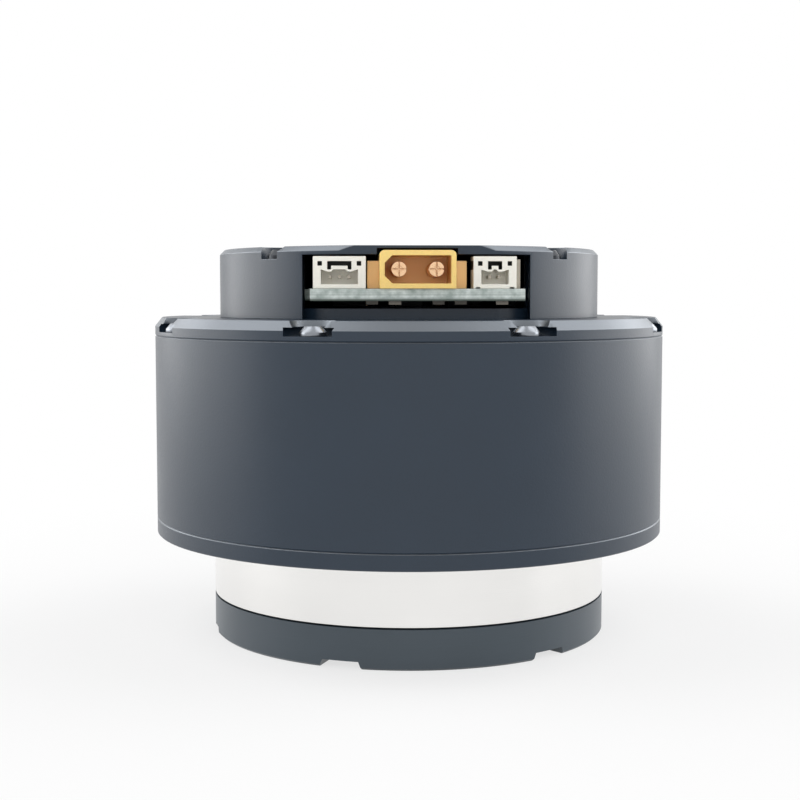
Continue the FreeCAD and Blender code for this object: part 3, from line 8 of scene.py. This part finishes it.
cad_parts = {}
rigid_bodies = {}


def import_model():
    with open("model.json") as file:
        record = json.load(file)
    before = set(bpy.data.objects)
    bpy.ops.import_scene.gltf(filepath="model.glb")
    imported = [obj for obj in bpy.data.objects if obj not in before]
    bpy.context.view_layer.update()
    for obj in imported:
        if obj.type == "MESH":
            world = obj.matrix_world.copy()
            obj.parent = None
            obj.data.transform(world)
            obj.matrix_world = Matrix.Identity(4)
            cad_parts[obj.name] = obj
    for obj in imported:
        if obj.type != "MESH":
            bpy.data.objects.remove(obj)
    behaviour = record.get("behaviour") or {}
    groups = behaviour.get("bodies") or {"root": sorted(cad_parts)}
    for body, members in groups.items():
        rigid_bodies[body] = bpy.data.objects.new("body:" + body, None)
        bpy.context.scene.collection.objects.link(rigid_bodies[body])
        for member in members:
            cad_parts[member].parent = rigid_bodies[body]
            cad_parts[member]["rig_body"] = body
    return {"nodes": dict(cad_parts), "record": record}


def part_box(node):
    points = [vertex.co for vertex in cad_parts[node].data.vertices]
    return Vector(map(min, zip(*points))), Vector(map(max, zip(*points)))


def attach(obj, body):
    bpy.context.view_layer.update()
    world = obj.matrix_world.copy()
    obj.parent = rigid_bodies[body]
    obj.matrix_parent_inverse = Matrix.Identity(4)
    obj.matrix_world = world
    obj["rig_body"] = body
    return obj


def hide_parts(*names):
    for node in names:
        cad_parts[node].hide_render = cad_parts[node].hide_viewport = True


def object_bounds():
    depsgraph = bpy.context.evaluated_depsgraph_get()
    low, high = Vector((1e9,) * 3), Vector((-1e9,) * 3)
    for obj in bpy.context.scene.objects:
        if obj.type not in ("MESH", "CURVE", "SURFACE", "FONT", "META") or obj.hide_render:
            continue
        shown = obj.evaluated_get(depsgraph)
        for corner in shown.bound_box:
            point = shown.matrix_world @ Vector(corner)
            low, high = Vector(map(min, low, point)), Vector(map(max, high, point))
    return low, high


# A robot joint actuator: a dark anodised housing over a bright gearbox band and a turning output
# flange, with a driver cover on top whose window shows the board, a power socket and two signal
# sockets. Lengths are in millimetres and brought to metres by MM, unless a comment says otherwise.

MM = 0.001

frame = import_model()
cad_low, cad_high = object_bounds()


# ---------------------------------------------------------------- sizes

# Every finish: how slowly its tone drifts over a surface, the span of its summed grains that is
# used, and the share by which its roughness swings.
CLOUD = 9.0
SWING_FROM, SWING_TO = 0.6, 1.4
GLOSS_SWING = 0.1

# A face whose upward normal lies between these shares of one is a chamfer, and is this metallic.
# Only upward slopes are picked, so their paler tone is partly a painted highlight from above.
SLOPE_FROM, SLOPE_TO = 0.25, 0.95
CHAMFER_AND_HIGHLIGHT_METAL = 0.8

# The board: a normal steeper than this is one of its faces, and the rest is its cut edge. The edge
# shows plies, drawn coarser than real ones so that they can be seen, and a weave, mixed over this
# span. A painted shade along the bottom of the edge fades out between these heights over the
# underside.
FACE_FROM = 0.5
PLY, WEAVE = 0.45, 1.2
GLASS_FROM, GLASS_TO = 0.15, 0.4
UNDER_SHADE_FROM, UNDER_SHADE_TO = 0.15, 0.35

# The power socket turns to its deeper tone between these depths behind its front.
MOUTH_FROM, MOUTH_TO = 0.15, 1.5

# The latch slots lie between these heights over the signal sockets' feet, and carry a painted shade
# between these depths behind their front.
LATCH_LEVEL, LATCH_ROOF = 2.54, 3.72
LATCH_SHADE_FROM, LATCH_SHADE_TO = 0.1, 0.5

# Edges that turn by more than SHARP degrees are broken; the rest are facets of a round. Points
# closer than WELD are one, and faces within FLAT degrees of each other are one face.
SHARP = 30.0
WELD = 0.002
FLAT = 0.5

# The rear screws' pockets, with the turn of the first in degrees.
POCKET_COUNT = 8
POCKET_TURN = 22.5
POCKET_CIRCLE = 35.95
POCKET_RADIUS = 3.9
POCKET_SEAT, POCKET_TOP = 44.95, 46.1
POCKET_SIDES = 64

# The power pins, with their slots and dimples.
PIN_RADIUS = 1.0
SLOT_WIDTH, SLOT_DEPTH = 0.22, 1.6
DIMPLE_RADIUS, DIMPLE_DEPTH = 0.45, 0.5
DIMPLE_SIDES = 32

# The flange stands clear of the floor by this much, so that the two faces don't fight.
FLOOR_GAP = 0.05
# Half the floor's width, in metres.
FLOOR_HALF = 4.0
# In metres from the middle: the floor is washed out by the share SHADOW_FADE as far as the first,
# and wholly beyond the second.
SHADOW_INNER, SHADOW_OUTER = 0.06, 0.14
SHADOW_FADE = 0.7

# How much the room itself lights, where 1 would render a colour as written with no lamps.
ROOM_LEVEL = 0.35


# ---------------------------------------------------------------- colours, nodes and patterns

def linear(hex_colour):
    """A colour written as sRGB hex, in the linear values that the shaders take."""
    channels = [int(hex_colour[i:i + 2], 16) / 255 for i in (1, 3, 5)]
    return [c / 12.92 if c <= 0.04045 else ((c + 0.055) / 1.055) ** 2.4 for c in channels] + [1.0]


def add(tree, kind, inputs=None, **settings):
    """Add a node with its settings, and set or link its inputs."""
    node = tree.nodes.new("ShaderNode" + kind)
    for name, value in settings.items():
        setattr(node, name, value)
    for name, value in (inputs or {}).items():
        if isinstance(value, bpy.types.NodeSocket):
            tree.links.new(value, node.inputs[name])
        else:
            node.inputs[name].default_value = value
    return node


def calc(tree, operation, *values):
    """The result of one sum or comparison."""
    return add(tree, "Math", dict(enumerate(values)), operation=operation).outputs[0]


def ramp(tree, value, start, end, low=0.0, high=1.0):
    """A value that goes from low to high while another goes from start to end."""
    return add(tree, "MapRange", {"Value": value, "From Min": start, "From Max": end,
                                  "To Min": low, "To Max": high}).outputs[0]


def mixed(tree, share, first, second):
    """The first colour where the share is 0, and the second where it is 1."""
    return add(tree, "Mix", {0: share, 6: first, 7: second}, data_type="RGBA").outputs[2]


def split(tree, vector):
    """The three outputs X, Y and Z of a vector."""
    return add(tree, "SeparateXYZ", {0: vector}).outputs


def grain_of(tree, place, size, detail):
    """Noise with grains of a size in millimetres."""
    return add(tree, "TexNoise", {"Vector": place, "Scale": 1 / (size * MM),
                                  "Detail": detail}).outputs["Fac"]


def blasted(tree):
    """Where a grain without direction is read: the piece's own coordinates."""
    return add(tree, "TexCoord").outputs["Object"]


def normal(tree):
    """Which way a surface faces, in the piece's own directions."""
    return split(tree, add(tree, "TexCoord").outputs["Normal"])


def turned(tree):
    """Where lathe lines are read: they run round the axis, so only radius and height count."""
    spot = split(tree, blasted(tree))
    flat = add(tree, "CombineXYZ", {0: spot["X"], 1: spot["Y"]})
    radius = add(tree, "VectorMath", {0: flat.outputs[0]}, operation="LENGTH")
    return add(tree, "CombineXYZ", {0: radius.outputs["Value"], 2: spot["Z"]}).outputs[0]


def finish(name, colour, roughness, grain, depth, metallic=0.0, ior=1.5, shift=0.06, lay=blasted):
    """A finish whose tone, gloss and relief vary with a grain; grain and depth are millimetres."""
    material = bpy.data.materials.new(name)
    material.use_nodes = True
    tree = material.node_tree
    shader = tree.nodes["Principled BSDF"]
    grit = grain_of(tree, lay(tree), grain, 4.0)
    cloud = grain_of(tree, blasted(tree), CLOUD, 2.0)
    swing = ramp(tree, calc(tree, "ADD", grit, cloud), SWING_FROM, SWING_TO)
    base = linear(colour)
    dull, pale = ([c * share for c in base[:3]] + [1.0] for share in (1 - shift, 1 + shift))
    gloss = ramp(tree, swing, 0.0, 1.0, roughness * (1 - GLOSS_SWING),
                 roughness * (1 + GLOSS_SWING))
    relief = add(tree, "Bump", {"Height": grit, "Distance": depth * MM, "Strength": 1.0})
    tree.links.new(mixed(tree, swing, dull, pale), shader.inputs["Base Color"])
    tree.links.new(gloss, shader.inputs["Roughness"])
    tree.links.new(relief.outputs[0], shader.inputs["Normal"])
    shader.inputs["Metallic"].default_value = metallic
    if metallic == 0.0:
        shader.inputs["IOR"].default_value = ior
    return material


def opened(material):
    """A finish's tree, its shader and the colour that the shader has so far."""
    tree = material.node_tree
    shader = tree.nodes["Principled BSDF"]
    return tree, shader, shader.inputs["Base Color"].links[0].from_socket


def glowing(shader, share, radius):
    """Let light into a plastic, as deep as a radius in millimetres for each of red, green, blue."""
    shader.inputs["Subsurface Weight"].default_value = share
    shader.inputs["Subsurface Radius"].default_value = [reach * MM for reach in radius]


# ---------------------------------------------------------------- finishes

def dark_anodised():
    """Aluminium, bead blasted and anodised blue-black: a soft satin, with paler chamfers; only
    upward slopes are paled, so that tone is partly a painted highlight.
    """
    return chamfer_tone_and_painted_highlight(finish("blasted_dark_anodised_aluminium", "#1a2836", 0.36, grain=0.3,
                            depth=0.012))


def flange_anodised():
    """The same anodising on the turned flange: a little greener, with faint lathe lines."""
    return finish("turned_dark_anodised_aluminium", "#3a444c", 0.36, grain=0.25, depth=0.01,
                  lay=turned)


def chamfer_tone_and_painted_highlight(material):
    """The same finish with its upward-sloping faces paler and more metallic, to match the
    photograph:
    partly a bare-cut chamfer tone, and partly a painted highlight of the light from above.
    """
    tree, shader, blast = opened(material)
    rise = normal(tree)["Z"]
    # Painted highlight: upward-sloping faces get a paler, more metallic tone, as if lit from above.
    cut = calc(tree, "MULTIPLY", calc(tree, "GREATER_THAN", rise, SLOPE_FROM),
               calc(tree, "LESS_THAN", rise, SLOPE_TO))
    tree.links.new(mixed(tree, cut, blast, linear("#6e7379")), shader.inputs["Base Color"])
    tree.links.new(calc(tree, "MULTIPLY", cut, CHAMFER_AND_HIGHLIGHT_METAL), shader.inputs["Metallic"])
    return material


def bright_steel():
    """Hardened steel, ground and polished: bright, with fine lines round the axis."""
    return finish("ground_bright_steel", "#edecea", 0.24, grain=0.22, depth=0.0012, metallic=1.0,
                  shift=0.03, lay=turned)


def gear_steel():
    """Case-hardened gear steel: darker and oiled, with a fine grain."""
    return finish("hobbed_gear_steel", "#a8a7a3", 0.32, grain=0.2, depth=0.003, metallic=1.0)


def bearing_steel():
    """Bearing steel, lapped: almost a mirror."""
    return finish("lapped_bearing_steel", "#d4d5d6", 0.12, grain=0.15, depth=0.0005, metallic=1.0,
                  lay=turned)


def lamination_steel():
    """Stacked sheet steel: dull grey."""
    return finish("stamped_lamination_steel", "#7d8084", 0.5, grain=0.35, depth=0.01, metallic=1.0)


def screw_steel():
    """Stainless screw: mid grey, cold headed, with a fine satin."""
    return finish("stainless_screw_steel", "#8b8f95", 0.3, grain=0.2, depth=0.002, metallic=1.0)


def black_screw():
    """Alloy screw, blackened and oiled: dark, with a soft shine on its edges."""
    return finish("black_oxide_screw_steel", "#2c2f34", 0.35, grain=0.2, depth=0.003, metallic=0.6)


def magnet_nickel():
    """Nickel-plated magnet: warm bright plate."""
    return finish("nickel_plate", "#c2bba8", 0.25, grain=0.4, depth=0.002, metallic=1.0)


def enamelled_copper():
    """Enamelled copper wire, wound: reddish brown under a clear lacquer."""
    material = finish("enamelled_copper_winding", "#a3552c", 0.3, grain=0.5, depth=0.06,
                      metallic=0.7, shift=0.15)
    shader = opened(material)[1]
    shader.inputs["Coat Weight"].default_value = 0.8
    shader.inputs["Coat Roughness"].default_value = 0.15
    return material


def bare_copper():
    """Tinned copper leads: pale, slightly pink metal."""
    return finish("tinned_copper", "#c9a58c", 0.3, grain=0.3, depth=0.004, metallic=1.0)


def bush_bronze():
    """Sintered bronze: a warm brown metal, open grained."""
    return finish("sintered_bronze", "#a17c4b", 0.45, grain=0.25, depth=0.01, metallic=1.0,
                  shift=0.12)


def gold_plated_brass():
    """Gold-plated brass contact: a soft warm gleam."""
    return finish("gold_plated_brass", "#f2c9a0", 0.25, grain=0.2, depth=0.002, metallic=0.85)


def signal_contact():
    """Tinned bronze contact: dull and grey, hardly brighter than the mouth that it stands in."""
    return finish("tinned_signal_contact", "#a49d90", 0.45, grain=0.2, depth=0.006, metallic=0.7)


def insulator_plastic():
    """Glass-filled nylon: matt, off-white."""
    return finish("glass_filled_nylon", "#c9c4b4", 0.55, grain=0.25, depth=0.01)


def seal_rubber():
    """Nitrile rubber: black, matt, faintly ribbed by its mould."""
    return finish("moulded_nitrile_rubber", "#191a1c", 0.6, grain=0.3, depth=0.01, lay=turned)


def circuit_board():
    """Glass-epoxy board: green solder mask on its faces, and the pale cut laminate at its edge,
    with a painted shade along the bottom of that edge.
    """
    material = finish("glass_epoxy_board", "#1f4a3c", 0.35, grain=0.3, depth=0.006, shift=0.1)
    tree, shader, mask = opened(material)
    is_face = calc(tree, "GREATER_THAN", calc(tree, "ABSOLUTE", normal(tree)["Z"]), FACE_FROM)
    height = split(tree, blasted(tree))["Z"]
    plies = grain_of(tree, add(tree, "CombineXYZ", {2: height}).outputs[0], PLY, 1.0)
    weave = grain_of(tree, blasted(tree), WEAVE, 3.0)
    share = ramp(tree, calc(tree, "MULTIPLY", plies, weave), GLASS_FROM, GLASS_TO)
    edge = mixed(tree, share, linear("#97a49f"), linear("#dde5e1"))
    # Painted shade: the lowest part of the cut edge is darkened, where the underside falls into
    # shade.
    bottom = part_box("driver_board")[0].z
    above_underside_shade = ramp(tree, height, bottom + UNDER_SHADE_FROM * MM, bottom + UNDER_SHADE_TO * MM)
    rim = mixed(tree, above_underside_shade, linear("#47534c"), edge)
    tree.links.new(mixed(tree, is_face, rim, mask), shader.inputs["Base Color"])
    return material


def chip_plastic():
    """Epoxy chip package: black and matt."""
    return finish("moulded_epoxy_chip", "#1d1e20", 0.5, grain=0.15, depth=0.004)


def ceramic():
    """Ceramic capacitor: tan body with a fired, slightly glossy skin."""
    return finish("fired_ceramic", "#6f695f", 0.35, grain=0.2, depth=0.003)


def can_aluminium():
    """Drawn aluminium can of an electrolytic capacitor: brushed and bright."""
    return finish("drawn_aluminium_can", "#b9bcbf", 0.35, grain=0.25, depth=0.004, metallic=1.0)


def socket_yellow():
    """Moulded amber nylon: bright yellow at the rim, and browner down in the mouth."""
    material = finish("moulded_amber_nylon", "#f9d680", 0.4, grain=0.3, depth=0.006, ior=1.53)
    tree, shader, rim = opened(material)
    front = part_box("power_socket")[0].y
    deep = ramp(tree, split(tree, blasted(tree))["Y"], front + MOUTH_FROM * MM,
                front + MOUTH_TO * MM)
    tree.links.new(mixed(tree, deep, rim, linear("#fdcd88")), shader.inputs["Base Color"])
    glowing(shader, 0.15, (1.2, 0.8, 0.3))
    return material


def socket_ivory():
    """Moulded ivory nylon: off-white. The latch slots are blind here, so their depths are coloured
    dark: a painted shade for the dark space that open slots would show.
    """
    material = finish("moulded_ivory_nylon", "#f1eee4", 0.45, grain=0.25, depth=0.005, ior=1.53,
                      shift=0.03)
    tree, shader, skin = opened(material)
    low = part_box("signal_socket_wide")[0]
    spot = split(tree, blasted(tree))
    deep = ramp(tree, spot["Y"], low.y + LATCH_SHADE_FROM * MM, low.y + LATCH_SHADE_TO * MM)
    slot = calc(tree, "MULTIPLY", calc(tree, "GREATER_THAN", spot["Z"], low.z + LATCH_LEVEL * MM),
                calc(tree, "LESS_THAN", spot["Z"], low.z + LATCH_ROOF * MM))
    # Painted shade: near black deep in the latch slots, where open slots would show the dark
    # inside.
    dark = mixed(tree, calc(tree, "MULTIPLY", slot, deep), skin, linear("#2a2824"))
    tree.links.new(dark, shader.inputs["Base Color"])
    glowing(shader, 0.1, (0.6, 0.5, 0.4))
    return material


FINISHES = {make.__name__: make for make in (
    dark_anodised, bright_steel, gear_steel, bearing_steel, lamination_steel, screw_steel,
    black_screw, magnet_nickel, enamelled_copper, bare_copper, bush_bronze, gold_plated_brass,
    insulator_plastic, seal_rubber, circuit_board, chip_plastic, ceramic, can_aluminium,
    socket_yellow, socket_ivory)}


def dress():
    """Give every node its slot's finish, and the flange and the signal contacts their own."""
    made = {slot: make() for slot, make in FINISHES.items()}
    for part in frame["record"]["subparts"]:
        wear(frame["nodes"][part["node"]], made[part["material_slot"]])
    wear(frame["nodes"]["output_flange"], flange_anodised())
    tinned = signal_contact()
    for socket in ("wide", "narrow"):
        wear(frame["nodes"]["signal_socket_" + socket + "_contacts"], tinned)


def wear(piece, material):
    """Put one material on the whole piece."""
    piece.data.materials.clear()
    piece.data.materials.append(material)


# ---------------------------------------------------------------- edges

def linked(name, data):
    """A new object in the scene."""
    thing = bpy.data.objects.new(name, data)
    bpy.context.scene.collection.objects.link(thing)
    return thing


def edge_broken(node, width, shape=None):
    """Stand in for a node: cut to shape if need be, its sharp edges broken by a small round."""
    source = frame["nodes"][node]
    mesh = shape(source.data) if shape else source.data.copy()
    form = bmesh.new()
    form.from_mesh(mesh)
    bmesh.ops.remove_doubles(form, verts=form.verts, dist=WELD * MM)
    bmesh.ops.dissolve_limit(form, angle_limit=math.radians(FLAT), verts=form.verts,
                             edges=form.edges)
    sharp = [edge for edge in form.edges
             if edge.is_manifold and edge.calc_face_angle() > math.radians(SHARP)]
    bmesh.ops.bevel(form, geom=sharp, offset=width * MM, segments=2, profile=0.5, affect="EDGES",
                    clamp_overlap=True)
    for face in form.faces:
        face.smooth = True
    for edge in form.edges:
        edge.smooth = not edge.is_manifold or edge.calc_face_angle() < math.radians(SHARP)
    form.to_mesh(mesh)
    form.free()
    piece = linked(node + "_broken_edges", mesh)
    weighted = piece.modifiers.new("flat_faces", "WEIGHTED_NORMAL")
    weighted.keep_sharp = True
    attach(piece, source["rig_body"])
    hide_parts(node)


def cut_away(mesh, cutter):
    """A copy of a mesh less the cutter's volume; the cutter's own form is used up."""
    tool_mesh = bpy.data.meshes.new("cutter")
    cutter.to_mesh(tool_mesh)
    cutter.free()
    tool = linked("cutter", tool_mesh)
    blank = linked("blank", mesh.copy())
    cut = blank.modifiers.new("cut", "BOOLEAN")
    cut.object, cut.operation, cut.solver = tool, "DIFFERENCE", "EXACT"
    bpy.context.view_layer.update()
    shown = blank.evaluated_get(bpy.context.evaluated_depsgraph_get())
    rest = bpy.data.meshes.new_from_object(shown)
    for thing in (tool, blank):
        bpy.data.objects.remove(thing)
    return rest


def add_rod(cutter, sides, radius, length, matrix):
    """Add a closed cylinder to a cutter's form, its radius and length in millimetres."""
    bmesh.ops.create_cone(cutter, cap_ends=True, segments=sides, radius1=radius * MM,
                          radius2=radius * MM, depth=length * MM, matrix=matrix)


def wide_pockets(mesh):
    """The rear plate with its screw pockets opened to the side below the chamfer."""
    cutter = bmesh.new()
    height = POCKET_TOP - POCKET_SEAT
    for step in range(POCKET_COUNT):
        angle = math.radians(POCKET_TURN + 360 * step / POCKET_COUNT)
        place = Vector((POCKET_CIRCLE * math.cos(angle), POCKET_CIRCLE * math.sin(angle),
                        POCKET_SEAT + height / 2)) * MM
        add_rod(cutter, POCKET_SIDES, POCKET_RADIUS, height, Matrix.Translation(place))
    return cut_away(mesh, cutter)


def split_pins(mesh):
    """The power pins with the crossed slots that let them spring, and a dimple at the nose."""
    low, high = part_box("power_pins")
    reach = high.x - PIN_RADIUS * MM
    noses = [Vector((side * reach, low.y, high.z - PIN_RADIUS * MM)) for side in (-1, 1)]
    level = Matrix.Rotation(math.pi / 2, 4, "X")
    cutter = bmesh.new()
    for nose in noses:
        add_rod(cutter, DIMPLE_SIDES, DIMPLE_RADIUS, 2 * DIMPLE_DEPTH,
                Matrix.Translation(nose) @ level)
    slotted = cut_away(mesh, cutter)
    for across, up in ((SLOT_WIDTH, 3 * PIN_RADIUS), (3 * PIN_RADIUS, SLOT_WIDTH)):
        cutter = bmesh.new()
        for nose in noses:
            size = Matrix.Diagonal((across * MM, 2 * SLOT_DEPTH * MM, up * MM, 1))
            bmesh.ops.create_cube(cutter, size=1, matrix=Matrix.Translation(nose) @ size)
        slotted = cut_away(slotted, cutter)
    return slotted


# ---------------------------------------------------------------- floor, light and camera

def seen(tree):
    """1 where a surface is seen by the camera or in a reflection, and 0 where it only lights."""
    path = add(tree, "LightPath").outputs
    return calc(tree, "MAXIMUM", path["Is Camera Ray"], path["Is Glossy Ray"])


def floor():
    """A pale floor under the flange that fades to plain white away from it, with no horizon."""
    mesh = bpy.data.meshes.new("floor")
    level = cad_low.z - FLOOR_GAP * MM
    corners = [(x * FLOOR_HALF, y * FLOOR_HALF, level)
               for x, y in ((-1, -1), (1, -1), (1, 1), (-1, 1))]
    mesh.from_pydata(corners, [], [(0, 1, 2, 3)])
    sheet = linked("floor", mesh)
    paint = finish("painted_floor", "#e6e6e6", 0.9, grain=2.0, depth=0.0, shift=0.004)
    wear(sheet, paint)
    tree, shader, _ = opened(paint)
    away = add(tree, "VectorMath", {0: blasted(tree)}, operation="LENGTH").outputs["Value"]
    faded = ramp(tree, away, SHADOW_INNER, SHADOW_OUTER, SHADOW_FADE, 1.0)
    share = calc(tree, "MULTIPLY", seen(tree), faded)
    white = add(tree, "Emission", {"Color": linear("#ffffff"), "Strength": 1.0})
    both = add(tree, "MixShader", {0: share, 1: shader.outputs[0], 2: white.outputs[0]})
    tree.links.new(both.outputs[0], tree.nodes["Material Output"].inputs["Surface"])


def surroundings():
    """An even room: white where it is seen or mirrored, and dimmer where it lights."""
    world = bpy.data.worlds.new("studio")
    world.use_nodes = True
    bpy.context.scene.world = world
    tree = world.node_tree
    back = tree.nodes["Background"]
    passing = add(tree, "LightPath").outputs["Is Transmission Ray"]
    shown = calc(tree, "MAXIMUM", seen(tree), passing)
    back.inputs["Color"].default_value = linear("#ffffff")
    tree.links.new(ramp(tree, shown, 0.0, 1.0, ROOM_LEVEL, 1.0), back.inputs["Strength"])


def softbox(name, place, aim, width, height, power, mirrored=True):
    """A rectangular soft lamp at a place, facing an aim point; metres and watts."""
    lamp = bpy.data.lights.new(name, "AREA")
    lamp.shape = "RECTANGLE"
    lamp.size, lamp.size_y, lamp.energy = width, height, power
    holder = linked(name, lamp)
    holder.location = place
    holder.visible_glossy = mirrored
    holder.rotation_euler = (Vector(aim) - Vector(place)).to_track_quat("-Z", "Y").to_euler()


def lamps():
    """Broad lamps above and tall ones at the sides, and a front fill that no reflection shows."""
    middle = (cad_low + cad_high) / 2
    for side, name in ((-1, "left"), (1, "right")):
        softbox(name + "_above", (side * 0.34, 0.06, 0.62), middle, width=0.34, height=0.5,
                power=0.95)
        softbox(name + "_side", (side * 0.74, 0.2, 0.2), middle, width=1.0, height=0.7, power=6.4)
    softbox("front_fill", (0, -0.9, 0.3), middle, width=1.2, height=0.9, power=5.4, mirrored=False)


def camera():
    """Almost level with the top of the housing, square to the sockets."""
    lens, sensor = 63.97, 36.0
    distance, height, aside = 216.5 * MM, 50.46 * MM, 1.32 * MM
    turn, pitch = math.radians(-2.2), math.radians(4.29)
    eye = linked("camera", bpy.data.cameras.new("camera"))
    eye.data.lens, eye.data.sensor_width = lens, sensor
    eye.data.clip_start = 10 * MM
    right = Vector((math.cos(turn), math.sin(turn), 0))
    ahead = Vector((-math.sin(turn), math.cos(turn), 0))
    eye.location = -distance * ahead - aside * right + Vector((0, 0, height))
    look = ahead * math.cos(pitch) - Vector((0, 0, math.sin(pitch)))
    eye.rotation_euler = look.to_track_quat("-Z", "Y").to_euler()
    bpy.context.scene.camera = eye


dress()
for softened, round_width, reshaped in (
        ("power_socket", 0.12, None), ("signal_socket_wide", 0.07, None), ("cover", 0.1, None),
        ("signal_socket_narrow", 0.07, None), ("rear_screws", 0.08, None),
        ("rear_plate", 0.1, wide_pockets), ("power_pins", 0.12, split_pins)):
    edge_broken(softened, round_width, reshaped)
floor()
surroundings()
lamps()
camera()
bpy.context.scene.view_settings.view_transform = "Standard"
